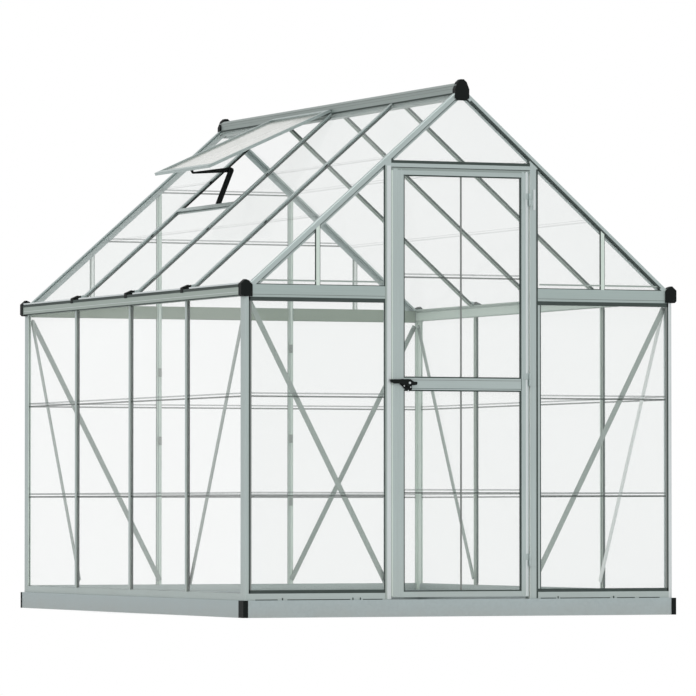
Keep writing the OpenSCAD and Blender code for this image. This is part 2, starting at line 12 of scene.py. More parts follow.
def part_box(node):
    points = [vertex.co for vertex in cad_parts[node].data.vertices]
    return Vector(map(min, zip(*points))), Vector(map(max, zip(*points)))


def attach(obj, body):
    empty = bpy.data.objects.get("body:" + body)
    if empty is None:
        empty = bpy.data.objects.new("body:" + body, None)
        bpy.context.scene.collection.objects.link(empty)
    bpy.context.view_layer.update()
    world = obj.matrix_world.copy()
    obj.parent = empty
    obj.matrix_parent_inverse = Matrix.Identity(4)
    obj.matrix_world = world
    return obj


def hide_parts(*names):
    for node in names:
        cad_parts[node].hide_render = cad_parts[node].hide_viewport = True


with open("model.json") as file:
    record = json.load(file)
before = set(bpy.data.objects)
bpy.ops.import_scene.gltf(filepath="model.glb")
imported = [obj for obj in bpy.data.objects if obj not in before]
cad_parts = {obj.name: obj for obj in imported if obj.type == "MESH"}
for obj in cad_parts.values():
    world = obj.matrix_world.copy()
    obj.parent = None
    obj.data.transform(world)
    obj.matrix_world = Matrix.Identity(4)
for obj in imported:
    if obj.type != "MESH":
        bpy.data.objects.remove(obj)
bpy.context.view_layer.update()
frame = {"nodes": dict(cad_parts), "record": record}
nodes = frame["nodes"]
scene = bpy.context.scene
print("frame loaded:", len(nodes), "nodes")

# directions of the walls, pointing out of the house, and up
right = Vector((1, 0, 0))
back = Vector((0, 1, 0))
up = Vector((0, 0, 1))
left = -right
front = -back


def widestNormal(node):
    # outward direction of the largest face that looks up
    faces = [p for p in nodes[node].data.polygons if p.normal.z > 0.2]
    return max(faces, key=lambda p: p.area).normal.copy()


def mirrored(v):
    return Vector((-v.x, v.y, v.z))


slopeRight = widestNormal("roof_glass_right")
slopeLeft = mirrored(slopeRight)
ventOut = widestNormal("vent_glass")
slopeUp = Vector((-slopeRight.z, 0, slopeRight.x))  # up the right slope
slopeUpLeft = mirrored(slopeUp)
ventUp = Vector((ventOut.z, 0, -ventOut.x))
pitch = math.acos(slopeRight.z)

# outer planes of the walls, and levels
postLow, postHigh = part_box("front_corner_posts")
frontY, rightX, eaveZ = postLow.y, postHigh.x, postHigh.z
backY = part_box("back_corner_posts")[1].y
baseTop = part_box("base_front")[1].z
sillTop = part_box("side_posts")[0].z
roofFootZ = 1.258  # where the outer planes of a slope and a wall meet
# the door leaf and the header over it, whose ends are the posts' inner edges
leafLow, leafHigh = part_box("door_stiles")
headLow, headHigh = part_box("door_header")

# ---- camera, light and floor ----

cameraSet = {
    "place": (-9.0516, -21.1736, 0.4114),
    "turn": (91.634, 0, -23.254),  # degrees
    "lens": 293.15,  # millimetres
    "sensor": 36,
    "farthest": 200,
}
lightSet = {
    "world": 0.62,
    "skyTint": (0.96, 0.985, 1.0),
    "key": {"turn": (48, 0, -38), "strength": 1.35, "angle": 34},
    "fill": {"turn": (62, 0, 70), "strength": 0.35, "angle": 50},
}
floorSet = {
    "radius": 60,
    "drop": 0.0005,
    "whiteFrom": 0.55,
    "whiteTo": 1.15,
    "colour": (0.93, 0.935, 0.94, 1),
}


def makeCamera():
    data = bpy.data.cameras.new("camera")
    data.lens = cameraSet["lens"]
    data.sensor_width = cameraSet["sensor"]
    data.clip_end = cameraSet["farthest"]
    camera = bpy.data.objects.new("camera", data)
    camera.location = cameraSet["place"]
    camera.rotation_euler = [math.radians(a) for a in cameraSet["turn"]]
    scene.collection.objects.link(camera)
    scene.camera = camera


def addNode(tree, kind, **settings):
    node = tree.nodes.new(kind)
    for name, value in settings.items():
        if hasattr(node, name):
            setattr(node, name, value)
        else:
            node.inputs[name.replace("_", " ")].default_value = value
    return node


def whiteForSight(tree, path):
    # 1 for rays that show the surroundings: straight, mirrored or through glass
    seen = addNode(tree, "ShaderNodeMath", operation="MAXIMUM")
    clear = addNode(tree, "ShaderNodeMath", operation="MAXIMUM")
    tree.links.new(path.outputs["Is Camera Ray"], seen.inputs[0])
    tree.links.new(path.outputs["Is Glossy Ray"], seen.inputs[1])
    tree.links.new(seen.outputs[0], clear.inputs[0])
    tree.links.new(path.outputs["Is Transmission Ray"], clear.inputs[1])
    return clear.outputs[0]


def makeWorld():
    world = bpy.data.worlds.new("studio")
    scene.world = world
    world.use_nodes = True
    tree = world.node_tree
    tree.nodes.clear()
    out = addNode(tree, "ShaderNodeOutputWorld")
    mix = addNode(tree, "ShaderNodeMixShader")
    path = addNode(tree, "ShaderNodeLightPath")
    lit = addNode(tree, "ShaderNodeBackground", Strength=lightSet["world"])
    lit.inputs["Color"].default_value = (*lightSet["skyTint"], 1)
    seen = addNode(tree, "ShaderNodeBackground", Strength=1.0)
    seen.inputs["Color"].default_value = (1, 1, 1, 1)
    tree.links.new(whiteForSight(tree, path), mix.inputs[0])
    tree.links.new(lit.outputs[0], mix.inputs[1])
    tree.links.new(seen.outputs[0], mix.inputs[2])
    tree.links.new(mix.outputs[0], out.inputs[0])


def makeLamps():
    for name in ("key", "fill"):
        lamp = lightSet[name]
        data = bpy.data.lights.new(name, "SUN")
        data.energy = lamp["strength"]
        data.angle = math.radians(lamp["angle"])
        obj = bpy.data.objects.new(name, data)
        obj.rotation_euler = [math.radians(a) for a in lamp["turn"]]
        scene.collection.objects.link(obj)


def makeFloor():
    bm = bmesh.new()
    bmesh.ops.create_circle(bm, cap_ends=True, segments=96, radius=floorSet["radius"])
    bmesh.ops.translate(bm, verts=bm.verts, vec=(0, 0, -floorSet["drop"]))
    mesh = bpy.data.meshes.new("floor")
    bm.to_mesh(mesh)
    bm.free()
    floor = bpy.data.objects.new("floor", mesh)
    scene.collection.objects.link(floor)
    material = bpy.data.materials.new("paleFloor")
    material.use_nodes = True
    tree = material.node_tree
    shader = tree.nodes["Principled BSDF"]
    shader.inputs["Base Color"].default_value = floorSet["colour"]
    shader.inputs["Roughness"].default_value = 0.9
    shader.inputs["Specular IOR Level"].default_value = 0.0
    place = addNode(tree, "ShaderNodeTexCoord")
    size = addNode(tree, "ShaderNodeVectorMath", operation="LENGTH")
    fade = addNode(tree, "ShaderNodeMapRange", interpolation_type="SMOOTHSTEP")
    fade.inputs["From Min"].default_value = floorSet["whiteFrom"]
    fade.inputs["From Max"].default_value = floorSet["whiteTo"]
    path = addNode(tree, "ShaderNodeLightPath")
    far = addNode(tree, "ShaderNodeMath", operation="MULTIPLY")
    white = addNode(tree, "ShaderNodeEmission", Strength=1.0)
    mix = addNode(tree, "ShaderNodeMixShader")
    tree.links.new(place.outputs["Object"], size.inputs[0])
    tree.links.new(size.outputs["Value"], fade.inputs["Value"])
    tree.links.new(fade.outputs["Result"], far.inputs[0])
    tree.links.new(whiteForSight(tree, path), far.inputs[1])
    tree.links.new(far.outputs[0], mix.inputs[0])
    tree.links.new(shader.outputs[0], mix.inputs[1])
    tree.links.new(white.outputs[0], mix.inputs[2])
    tree.links.new(mix.outputs[0], tree.nodes["Material Output"].inputs[0])
    mesh.materials.append(material)


scene.view_settings.view_transform = "Standard"
scene.cycles.transparent_max_bounces = 32
makeCamera()
makeWorld()
makeLamps()
makeFloor()
print("camera, light and floor made")

# ---- shared effects ----


def newGroup(name, inputs, outputs):
    # inputs and outputs are (name, socket type, value) and (name, socket type)
    tree = bpy.data.node_groups.new(name, "ShaderNodeTree")
    for title, kind, value in inputs:
        socket = tree.interface.new_socket(title, in_out="INPUT", socket_type=kind)
        if value is not None:
            socket.default_value = value
    for title, kind in outputs:
        tree.interface.new_socket(title, in_out="OUTPUT", socket_type=kind)
    return tree, tree.nodes.new("NodeGroupInput"), tree.nodes.new("NodeGroupOutput")


def makeDieLines():
    # fine lines that a die leaves along an extruded bar, whose length is the vector's Z,
    # and a broad drift of tone
    tree, given, made = newGroup(
        "dieLines",
        [("Vector", "NodeSocketVector", None), ("Fineness", "NodeSocketFloat", 900.0),
         ("Contrast", "NodeSocketFloat", 0.12)],
        [("Tone", "NodeSocketFloat"), ("Height", "NodeSocketFloat")])
    stretch = addNode(tree, "ShaderNodeVectorMath", operation="MULTIPLY")
    stretch.inputs[1].default_value = (1, 1, 0.004)  # draws the lines out along Z
    lines = addNode(tree, "ShaderNodeTexNoise", Detail=3.0, Roughness=0.6)
    broad = addNode(tree, "ShaderNodeTexNoise", Scale=2.3, Detail=4.0, Roughness=0.55)
    spread = addNode(tree, "ShaderNodeMapRange")
    both = addNode(tree, "ShaderNodeMath", operation="MULTIPLY_ADD")
    scaled = addNode(tree, "ShaderNodeMath", operation="MULTIPLY_ADD")
    tree.links.new(given.outputs["Vector"], stretch.inputs[0])
    tree.links.new(stretch.outputs[0], lines.inputs["Vector"])
    tree.links.new(given.outputs["Fineness"], lines.inputs["Scale"])
    tree.links.new(given.outputs["Vector"], broad.inputs["Vector"])
    spread.inputs["From Min"].default_value = 0.3
    spread.inputs["From Max"].default_value = 0.7
    spread.inputs["To Min"].default_value = -0.5
    spread.inputs["To Max"].default_value = 0.5
    tree.links.new(lines.outputs["Fac"], spread.inputs["Value"])
    both.inputs[1].default_value = 0.9  # weight of the broad drift of tone
    both.inputs[2].default_value = -0.45
    tree.links.new(broad.outputs["Fac"], both.inputs[0])
    total = addNode(tree, "ShaderNodeMath", operation="ADD")
    tree.links.new(spread.outputs["Result"], total.inputs[0])
    tree.links.new(both.outputs[0], total.inputs[1])
    scaled.inputs[2].default_value = 1.0
    tree.links.new(total.outputs[0], scaled.inputs[0])
    tree.links.new(given.outputs["Contrast"], scaled.inputs[1])
    tree.links.new(scaled.outputs[0], made.inputs["Tone"])
    tree.links.new(lines.outputs["Fac"], made.inputs["Height"])
    return tree


def makeDust():
    # dust and splash that thin out with height above the ground, with a patchy edge
    tree, given, made = newGroup(
        "groundDust",
        [("Vector", "NodeSocketVector", None), ("Reach", "NodeSocketFloat", 0.35),
         ("Amount", "NodeSocketFloat", 0.25)],
        [("Mask", "NodeSocketFloat")])
    split = addNode(tree, "ShaderNodeSeparateXYZ")
    ratio = addNode(tree, "ShaderNodeMath", operation="DIVIDE")
    near = addNode(tree, "ShaderNodeMath", operation="SUBTRACT", use_clamp=True)
    near.inputs[0].default_value = 1.0
    patches = addNode(tree, "ShaderNodeTexNoise", Scale=14.0, Detail=6.0, Roughness=0.65)
    shaped = addNode(tree, "ShaderNodeMath", operation="MULTIPLY")
    amount = addNode(tree, "ShaderNodeMath", operation="MULTIPLY", use_clamp=True)
    tree.links.new(given.outputs["Vector"], split.inputs[0])
    tree.links.new(split.outputs["Z"], ratio.inputs[0])
    tree.links.new(given.outputs["Reach"], ratio.inputs[1])
    tree.links.new(ratio.outputs[0], near.inputs[1])
    tree.links.new(given.outputs["Vector"], patches.inputs["Vector"])
    tree.links.new(near.outputs[0], shaped.inputs[0])
    tree.links.new(patches.outputs["Fac"], shaped.inputs[1])
    tree.links.new(shaped.outputs[0], amount.inputs[0])
    tree.links.new(given.outputs["Amount"], amount.inputs[1])
    tree.links.new(amount.outputs[0], made.inputs["Mask"])
    return tree


def makeGrain():
    # fine pitted grain of moulded plastic or rubber
    tree, given, made = newGroup(
        "mouldedGrain",
        [("Vector", "NodeSocketVector", None), ("Scale", "NodeSocketFloat", 700.0),
         ("Rough Low", "NodeSocketFloat", 0.45), ("Rough High", "NodeSocketFloat", 0.62)],
        [("Height", "NodeSocketFloat"), ("Roughness", "NodeSocketFloat"),
         ("Tone", "NodeSocketFloat")])
    pits = addNode(tree, "ShaderNodeTexVoronoi", feature="SMOOTH_F1")
    wide = addNode(tree, "ShaderNodeTexNoise", Scale=18.0, Detail=4.0, Roughness=0.6)
    rough = addNode(tree, "ShaderNodeMapRange")
    tone = addNode(tree, "ShaderNodeMapRange")
    tone.inputs["To Min"].default_value = 0.8
    tone.inputs["To Max"].default_value = 1.25
    tree.links.new(given.outputs["Vector"], pits.inputs["Vector"])
    tree.links.new(given.outputs["Scale"], pits.inputs["Scale"])
    tree.links.new(given.outputs["Vector"], wide.inputs["Vector"])
    tree.links.new(wide.outputs["Fac"], rough.inputs["Value"])
    tree.links.new(given.outputs["Rough Low"], rough.inputs["To Min"])
    tree.links.new(given.outputs["Rough High"], rough.inputs["To Max"])
    tree.links.new(wide.outputs["Fac"], tone.inputs["Value"])
    tree.links.new(pits.outputs["Distance"], made.inputs["Height"])
    tree.links.new(rough.outputs["Result"], made.inputs["Roughness"])
    tree.links.new(tone.outputs["Result"], made.inputs["Tone"])
    return tree


dieLines = makeDieLines()
groundDust = makeDust()
mouldedGrain = makeGrain()


def placeGroup(tree, group, **values):
    node = tree.nodes.new("ShaderNodeGroup")
    node.node_tree = group
    for name, value in values.items():
        node.inputs[name.replace("_", " ")].default_value = value
    return node


def newMaterial(name):
    material = bpy.data.materials.new(name)
    material.use_nodes = True
    tree = material.node_tree
    return material, tree, tree.nodes["Principled BSDF"]


def tinted(tree, colour, tone):
    # a colour multiplied by a tone that changes over the surface
    mix = addNode(tree, "ShaderNodeMix", data_type="RGBA", blend_type="MULTIPLY")
    mix.inputs["Factor"].default_value = 1.0
    mix.inputs["A"].default_value = (*colour, 1)
    tree.links.new(tone, mix.inputs["B"])
    return mix.outputs["Result"]


def fromMap(tree, value, low, high):
    # a value from 0 to 1 spread from low to high
    spread = addNode(tree, "ShaderNodeMapRange")
    spread.inputs["To Min"].default_value = low
    spread.inputs["To Max"].default_value = high
    tree.links.new(value, spread.inputs["Value"])
    return spread.outputs["Result"]


def addBump(tree, shader, height, strength, distance):
    bump = addNode(tree, "ShaderNodeBump", Strength=strength, Distance=distance)
    tree.links.new(height, bump.inputs["Height"])
    tree.links.new(bump.outputs[0], shader.inputs["Normal"])


# ---- materials ----

# base colours of the metals, and of painted light and shade on faces of bars
metalSet = {
    "silver": (0.385, 0.445, 0.435),
    "inner": (0.30, 0.345, 0.32),
    "dull": (0.19, 0.205, 0.195),
    "ridge": (0.26, 0.305, 0.29),
    # pale, faint, shade, middle and inside are painted light and shade on chosen faces of bars; middle is
    # also the clips' own colour, and bright is real bright metal that also paints highlights
    "pale": (0.58, 0.66, 0.60),
    "shade": (0.014, 0.018, 0.016),
    "middle": (0.28, 0.31, 0.285),
    "inside": (0.27, 0.32, 0.265),
    "faint": (0.80, 0.83, 0.80),
    "bright": (0.56, 0.60, 0.60),
    "base": (0.345, 0.40, 0.405),
    "eave": (0.305, 0.36, 0.325),
    "tie": (0.345, 0.41, 0.395),
    "hinge": (0.42, 0.45, 0.44),
    "dust": (0.33, 0.31, 0.27),
}
# turn in degrees that brings each bar's length onto Z
alongTurn = {
    "X": (0, -90, 0),
    "Y": (90, 0, 0),
    "Z": (0, 0, 0),
    "Slope": (0, 90 - math.degrees(pitch), 0),
}


def barMetal(name, along, colour, metallic, rough, fineness=900.0, contrast=0.12):
    # metal bar with die lines along its length and a little dust near the ground
    material, tree, shader = newMaterial(name)
    place = addNode(tree, "ShaderNodeTexCoord")
    turn = addNode(tree, "ShaderNodeMapping")
    turn.inputs["Rotation"].default_value = [math.radians(a) for a in alongTurn[along]]
    source = place.outputs["Object"]
    if along == "Slope":  # both slopes share one material
        fold = addNode(tree, "ShaderNodeVectorMath", operation="ABSOLUTE")
        tree.links.new(source, fold.inputs[0])
        source = fold.outputs[0]
    tree.links.new(source, turn.inputs["Vector"])
    lines = placeGroup(tree, dieLines, Fineness=fineness, Contrast=contrast)
    tree.links.new(turn.outputs[0], lines.inputs["Vector"])
    dust = placeGroup(tree, groundDust, Reach=0.3, Amount=0.3)
    tree.links.new(place.outputs["Object"], dust.inputs["Vector"])
    mix = addNode(tree, "ShaderNodeMix", data_type="RGBA")
    mix.inputs["B"].default_value = (*metalSet["dust"], 1)
    tree.links.new(tinted(tree, colour, lines.outputs["Tone"]), mix.inputs["A"])
    tree.links.new(dust.outputs["Mask"], mix.inputs["Factor"])
    tree.links.new(mix.outputs["Result"], shader.inputs["Base Color"])
    rougher = addNode(tree, "ShaderNodeMath", operation="MULTIPLY_ADD")
    rougher.inputs[1].default_value = 0.35  # how much rougher dust makes it
    rougher.inputs[2].default_value = rough
    tree.links.new(dust.outputs["Mask"], rougher.inputs[0])
    tree.links.new(rougher.outputs[0], shader.inputs["Roughness"])
    shader.inputs["Metallic"].default_value = metallic
    addBump(tree, shader, lines.outputs["Height"], 0.12, 0.0004)
    return material


def galvanised(name):
    # zinc-coated steel: large soft crystals, a fine tooth and some splash from the ground
    material, tree, shader = newMaterial(name)
    place = addNode(tree, "ShaderNodeTexCoord")
    crystals = addNode(tree, "ShaderNodeTexVoronoi", Scale=95.0, Randomness=1.0)
    tree.links.new(place.outputs["Object"], crystals.inputs["Vector"])
    grey = addNode(tree, "ShaderNodeRGBToBW")
    tree.links.new(crystals.outputs["Color"], grey.inputs[0])
    tone = fromMap(tree, grey.outputs[0], 0.94, 1.06)
    dust = placeGroup(tree, groundDust, Reach=0.075, Amount=0.5)
    tree.links.new(place.outputs["Object"], dust.inputs["Vector"])
    mix = addNode(tree, "ShaderNodeMix", data_type="RGBA")
    mix.inputs["B"].default_value = (*metalSet["dust"], 1)
    tree.links.new(tinted(tree, metalSet["base"], tone), mix.inputs["A"])
    tree.links.new(dust.outputs["Mask"], mix.inputs["Factor"])
    tree.links.new(mix.outputs["Result"], shader.inputs["Base Color"])
    tree.links.new(fromMap(tree, grey.outputs[0], 0.42, 0.58), shader.inputs["Roughness"])
    shader.inputs["Metallic"].default_value = 0.55
    tooth = addNode(tree, "ShaderNodeTexNoise", Scale=420.0, Detail=3.0)
    tree.links.new(place.outputs["Object"], tooth.inputs["Vector"])
    addBump(tree, shader, tooth.outputs["Fac"], 0.08, 0.0004)
    return material


def moulded(name, colour, low, high, strength, shine):
    # moulded plastic or rubber, with a roughness from low to high and a grain of some strength
    material, tree, shader = newMaterial(name)
    shader.inputs["Specular IOR Level"].default_value = shine
    place = addNode(tree, "ShaderNodeTexCoord")
    grain = placeGroup(tree, mouldedGrain, Rough_Low=low, Rough_High=high)
    tree.links.new(place.outputs["Object"], grain.inputs["Vector"])
    tree.links.new(tinted(tree, colour, grain.outputs["Tone"]), shader.inputs["Base Color"])
    tree.links.new(grain.outputs["Roughness"], shader.inputs["Roughness"])
    addBump(tree, shader, grain.outputs["Height"], strength, 0.0003)
    return material


sheetSet = {
    "tint": (0.60, 0.66, 0.63),
    "edgeTint": (0.24, 0.27, 0.26),
    "shadeTint": (0.10, 0.12, 0.11),
    "ventTint": (0.62, 0.63, 0.58),
    "paleTint": (0.98, 1.0, 0.98),
    "clear": 0.06,  # how much of the sheet shows, straight on
    "edgeClear": 0.38,  # the same for the ribs' upper and lower flanks, faint ribs and the vent
    "shadeClear": 0.58,
    "faintClear": 0.14,
    "ventClear": 0.72,
    "grazing": 0.6,  # how much more shows at a slant
    "smear": 0.02,
}


def clearSheet(name, tint, shows):
    # thin clear plastic: faint smears, and more sheen where it is seen at a slant
    material, tree, shader = newMaterial(name)
    place = addNode(tree, "ShaderNodeTexCoord")
    smears = addNode(tree, "ShaderNodeTexNoise", Scale=3.2, Detail=6.0, Roughness=0.62,
                     Distortion=0.6)
    tree.links.new(place.outputs["Object"], smears.inputs["Vector"])
    slant = addNode(tree, "ShaderNodeLayerWeight", Blend=0.18)
    sheen = addNode(tree, "ShaderNodeMath", operation="POWER")
    sheen.inputs[1].default_value = 3.0
    tree.links.new(slant.outputs["Facing"], sheen.inputs[0])
    some = addNode(tree, "ShaderNodeMath", operation="MULTIPLY_ADD")
    some.inputs[1].default_value = sheetSet["grazing"]
    some.inputs[2].default_value = shows
    tree.links.new(sheen.outputs[0], some.inputs[0])
    total = addNode(tree, "ShaderNodeMath", operation="MULTIPLY_ADD", use_clamp=True)
    total.inputs[1].default_value = sheetSet["smear"]
    tree.links.new(smears.outputs["Fac"], total.inputs[0])
    tree.links.new(some.outputs[0], total.inputs[2])
    tree.links.new(total.outputs[0], shader.inputs["Alpha"])
    tree.links.new(fromMap(tree, smears.outputs["Fac"], 0.06, 0.16), shader.inputs["Roughness"])
    tone = fromMap(tree, smears.outputs["Fac"], 0.9, 1.1)
    tree.links.new(tinted(tree, tint, tone), shader.inputs["Base Color"])
    shader.inputs["IOR"].default_value = 1.5
    return material


barAlong = {a: barMetal("anodisedBar" + a, a, metalSet["silver"], 0.75, 0.42) for a in alongTurn}
innerStrip = barMetal("millFinishStrip", "Z", metalSet["inner"], 0.8, 0.38, 500.0, 0.2)
baseSteel = galvanised("galvanisedSteel")
hingeSteel = barMetal("platedSteel", "Z", metalSet["hinge"], 0.85, 0.35)
dullBar = barMetal("dullBar", "Z", metalSet["dull"], 0.5, 0.5)
# bright metal of screws and plates, also used for painted highlights
brightBar = barMetal("brightBar", "Z", metalSet["bright"], 0.6, 0.4)
eaveBar = barMetal("eaveBar", "Y", metalSet["eave"], 0.7, 0.42)
tieBar = barMetal("tieBar", "X", metalSet["tie"], 0.7, 0.42)
ridgeBar = barMetal("ridgeBar", "Y", metalSet["ridge"], 0.7, 0.42)
# paleBar, middleBar, insideBar and faintStrip are painted light and shade on chosen faces of bars;
# middleBar is also the clips' own colour
paleBar = barMetal("paleBar", "Z", metalSet["pale"], 0.35, 0.45)
middleBar = barMetal("middleBar", "Z", metalSet["middle"], 0.3, 0.5)
insideBar = barMetal("insideBar", "X", metalSet["inside"], 0.7, 0.42)
faintStrip = barMetal("faintStrip", "Z", metalSet["faint"], 0.0, 0.5)
blackPlastic = moulded("blackPlastic", (0.0035, 0.0055, 0.005), 0.5, 0.68, 0.2, 0.12)
# dark rubber of the gaskets, also used for strips of painted shade in grooves and gaps
rubberAndPaintedShade = moulded("rubberAndPaintedShade", (0.038, 0.052, 0.047), 0.6, 0.75, 0.2, 0.3)
clearPlastic = clearSheet("clearSheet", sheetSet["tint"], sheetSet["clear"])
# paler copy of the sheet for the left wall, a painted sheen
clearerPlastic = clearSheet("clearSheetPale", sheetSet["paleTint"], sheetSet["clear"])
# near black painted shade for the flanks of bars
shadeBar = moulded("shadedMetal", metalSet["shade"], 0.5, 0.68, 0.1, 0.15)
ribPlastic = clearSheet("clearSheetRib", sheetSet["edgeTint"], sheetSet["edgeClear"])
ribShade = clearSheet("clearSheetRibShade", sheetSet["shadeTint"], sheetSet["shadeClear"])
faintRib = clearSheet("clearSheetFaintRib", sheetSet["edgeTint"], sheetSet["faintClear"])
hazySheet = clearSheet("hazySheet", sheetSet["ventTint"], sheetSet["ventClear"])
print("materials made")

# ---- finishes of the carried-over pieces, and painted light and shade on their faces ----

finishes = [
    (baseSteel, ["base_front", "base_back", "base_left", "base_right"]),
    (barAlong["X"], ["front_sills", "back_sill", "door_header", "door_rails"]),
    (tieBar, ["front_ties", "back_ties"]),
    (barAlong["Y"], ["side_sills", "vent_cross_rail", "vent_rails"]),
    (eaveBar, ["eave_beams"]),
    (ridgeBar, ["ridge_beam"]),
    (barAlong["Z"], ["front_corner_posts", "back_corner_posts", "side_posts", "back_posts",
                     "door_posts", "door_stiles"]),
    # the gable bars are dull, as painted shade, and chosen faces are painted lighter below
    (dullBar, ["gable_bars"]),
    (barAlong["Slope"], ["front_rafters", "back_rafters", "roof_bars", "vent_stiles"]),
    (innerStrip, ["side_braces", "gable_braces"]),
]
for material, names in finishes:
    for name in names:
        nodes[name].data.materials.clear()
        nodes[name].data.materials.append(material)


def paintFaces(node, material, chosen):
    # gives one more material to the faces that are chosen by their middle and normal
    data = nodes[node].data
    data.materials.append(material)
    for face in data.polygons:
        if chosen(face.center, face.normal):
            face.material_index = len(data.materials) - 1


def wallDepth(centre):
    # how far inside the side wall's outer plane
    return rightX - abs(centre.x)


def roofDepth(centre):
    # how far inside the slope's outer plane
    outward = slopeRight if centre.x > 0 else slopeLeft
    return Vector((rightX, 0, roofFootZ)).dot(slopeRight) - centre.dot(outward)


def inwards(normal, centre):
    # 1 where a face on the left or right looks into the house
    return -normal.x if centre.x > 0 else normal.x


barBack = 0.0078  # depth at which a bar's inner half starts
straight = 0.9  # a normal's least part along an axis for the face to look that way
slanted = 0.5  # the same for the slopes' faces
near = 0.001  # how close a face may be to a plane to count as on it
leafLeft, leafRight = leafLow.x + near, leafHigh.x - near
jamb = headHigh.x + 2 * near  # faces nearer the middle than this are in the doorway


def flank(normal):
    # the faces of a bar that look along the house
    return abs(normal.y) > straight


def darkHalf(depth, centre):
    # the inner half of a bar on the left, and the outer half on the right: where the painted shade goes
    return (depth > barBack) == (centre.x < 0)


# painted shade on the flanks of the wall posts and roof bars: mid grey, and near black on one half
paintFaces("side_posts", middleBar, lambda c, n: flank(n) and c.x > 0)
paintFaces("side_posts", shadeBar, lambda c, n: flank(n) and darkHalf(wallDepth(c), c))
paintFaces("side_posts", middleBar, lambda c, n: flank(n) and c.x < 0 and wallDepth(c) < barBack)
# faces that look into the house, here and below, are painted pale: painted light
paintFaces("side_posts", paleBar, lambda c, n: inwards(n, c) > straight)
paintFaces("roof_bars", middleBar, lambda c, n: flank(n) and c.x > 0)
paintFaces("roof_bars", shadeBar, lambda c, n: flank(n) and darkHalf(roofDepth(c), c))
paintFaces("roof_bars", paleBar, lambda c, n: inwards(n, c) > slanted)
paintFaces("eave_beams", paleBar, lambda c, n: inwards(n, c) > straight)
paintFaces("back_posts", paleBar, lambda c, n: n.y < -straight)
paintFaces("back_corner_posts", paleBar, lambda c, n: n.y < -straight or inwards(n, c) > straight)
# painted highlight on the front face of the right front corner post
paintFaces("front_corner_posts", brightBar, lambda c, n: n.y < -straight and c.x > 0)
# faces in the gaps beside the leaf are painted pale: painted light against their shade
paintFaces("door_posts", faintStrip, lambda c, n: inwards(n, c) > straight and abs(c.x) < jamb)
paintFaces("door_stiles", faintStrip,
           lambda c, n: abs(n.x) > straight and (c.x < leafLeft or c.x > leafRight))
# the right wall's front brace and the back gable's bars are painted faint, as if washed out by light
paintFaces("side_braces", faintStrip, lambda c, n: c.x > 0 > c.y)
paintFaces("gable_bars", faintStrip, lambda c, n: c.y > 0)
# front faces of the front gable's bars are painted pale: painted light
paintFaces("gable_bars", paleBar, lambda c, n: n.y < -straight and c.y < 0)
# inner faces of the back ties are darker and greener: painted shade
paintFaces("back_ties", insideBar, lambda c, n: n.y < -straight)
print("carried-over pieces finished")

# ---- helpers for new pieces ----


def bodyOf(node):
    bodies = frame["record"]["behaviour"]["bodies"]
    return next(body for body, members in bodies.items() if node in members)


def finishPiece(bm, name, materials, body, thickness=0.0, smooth=False):
    # a new piece on a body; its thickness grows inwards, away from the faces' normals
    mesh = bpy.data.meshes.new(name)
    if not thickness:
        bmesh.ops.recalc_face_normals(bm, faces=bm.faces)
    bm.to_mesh(mesh)
    bm.free()
    for material in materials:
        mesh.materials.append(material)
    obj = bpy.data.objects.new(name, mesh)
    scene.collection.objects.link(obj)
    if thickness:
        shell = obj.modifiers.new("thickness", "SOLIDIFY")
        shell.thickness = thickness
        shell.offset = -1
        bpy.context.view_layer.update()
        graph = bpy.context.evaluated_depsgraph_get()
        solid = bpy.data.meshes.new_from_object(obj.evaluated_get(graph))
        obj.modifiers.clear()
        obj.data = solid
        bpy.data.meshes.remove(mesh)
        solid.name = name
    if smooth:
        obj.data.shade_smooth()
    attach(obj, body)
    return obj


weld = 1e-5  # corners closer than this are one
flatAngle = math.radians(1)
sharpAngle = math.radians(28)


def outerFaces(node, outward):
    # the faces of a node's sheets that look outwards, one polygon a sheet
    bm = bmesh.new()
    bm.from_mesh(nodes[node].data)
    bmesh.ops.remove_doubles(bm, verts=bm.verts, dist=weld)
    bm.normal_update()
    others = [f for f in bm.faces if f.normal.dot(outward) < 0.99]
    bmesh.ops.delete(bm, geom=others, context="FACES")
    bmesh.ops.dissolve_limit(bm, angle_limit=flatAngle, verts=bm.verts, edges=bm.edges)
    return bm


def turnTo(outward):
    # turn that brings Z onto a direction
    return up.rotation_difference(outward).to_matrix().to_4x4()


def addBlock(bm, middle, size, turn=Matrix.Identity(4)):
    place = Matrix.Translation(middle) @ turn @ Matrix.Diagonal((*size, 1))
    bmesh.ops.create_cube(bm, size=1, matrix=place)


def boxes(name, material, body, slot, corners):
    # one piece made of blocks, each given by its low and high corners
    bm = bmesh.new()
    for low, high in corners:
        low, high = Vector(low), Vector(high)
        addBlock(bm, (low + high) / 2, high - low)
    return finishPiece(bm, name, [material], body)


def addBead(bm, x, y, z0, z1, width, proud):
    # half-round moulding that stands on a face at y and runs up from z0 to z1
    turn = Matrix.Diagonal((width, 2 * proud, z1 - z0, 1))
    place = Matrix.Translation((x, y, (z0 + z1) / 2)) @ turn
    bmesh.ops.create_cone(bm, cap_ends=True, segments=20, radius1=0.5, radius2=0.5, depth=1,
                          matrix=place)


def softened(node, name, material, width):
    # copy of a piece with its sharp edges rounded off, shown in the piece's place
    bm = bmesh.new()
    bm.from_mesh(nodes[node].data)
    bmesh.ops.remove_doubles(bm, verts=bm.verts, dist=weld)
    bmesh.ops.dissolve_limit(bm, angle_limit=flatAngle, verts=bm.verts, edges=bm.edges)
    sharp = [e for e in bm.edges if len(e.link_faces) == 2 and e.calc_face_angle() > sharpAngle]
    bmesh.ops.bevel(bm, geom=sharp, offset=width, segments=2, profile=0.6, affect="EDGES",
                    clamp_overlap=True)
    piece = finishPiece(bm, name, [material], bodyOf(node))
    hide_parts(node)
    return piece


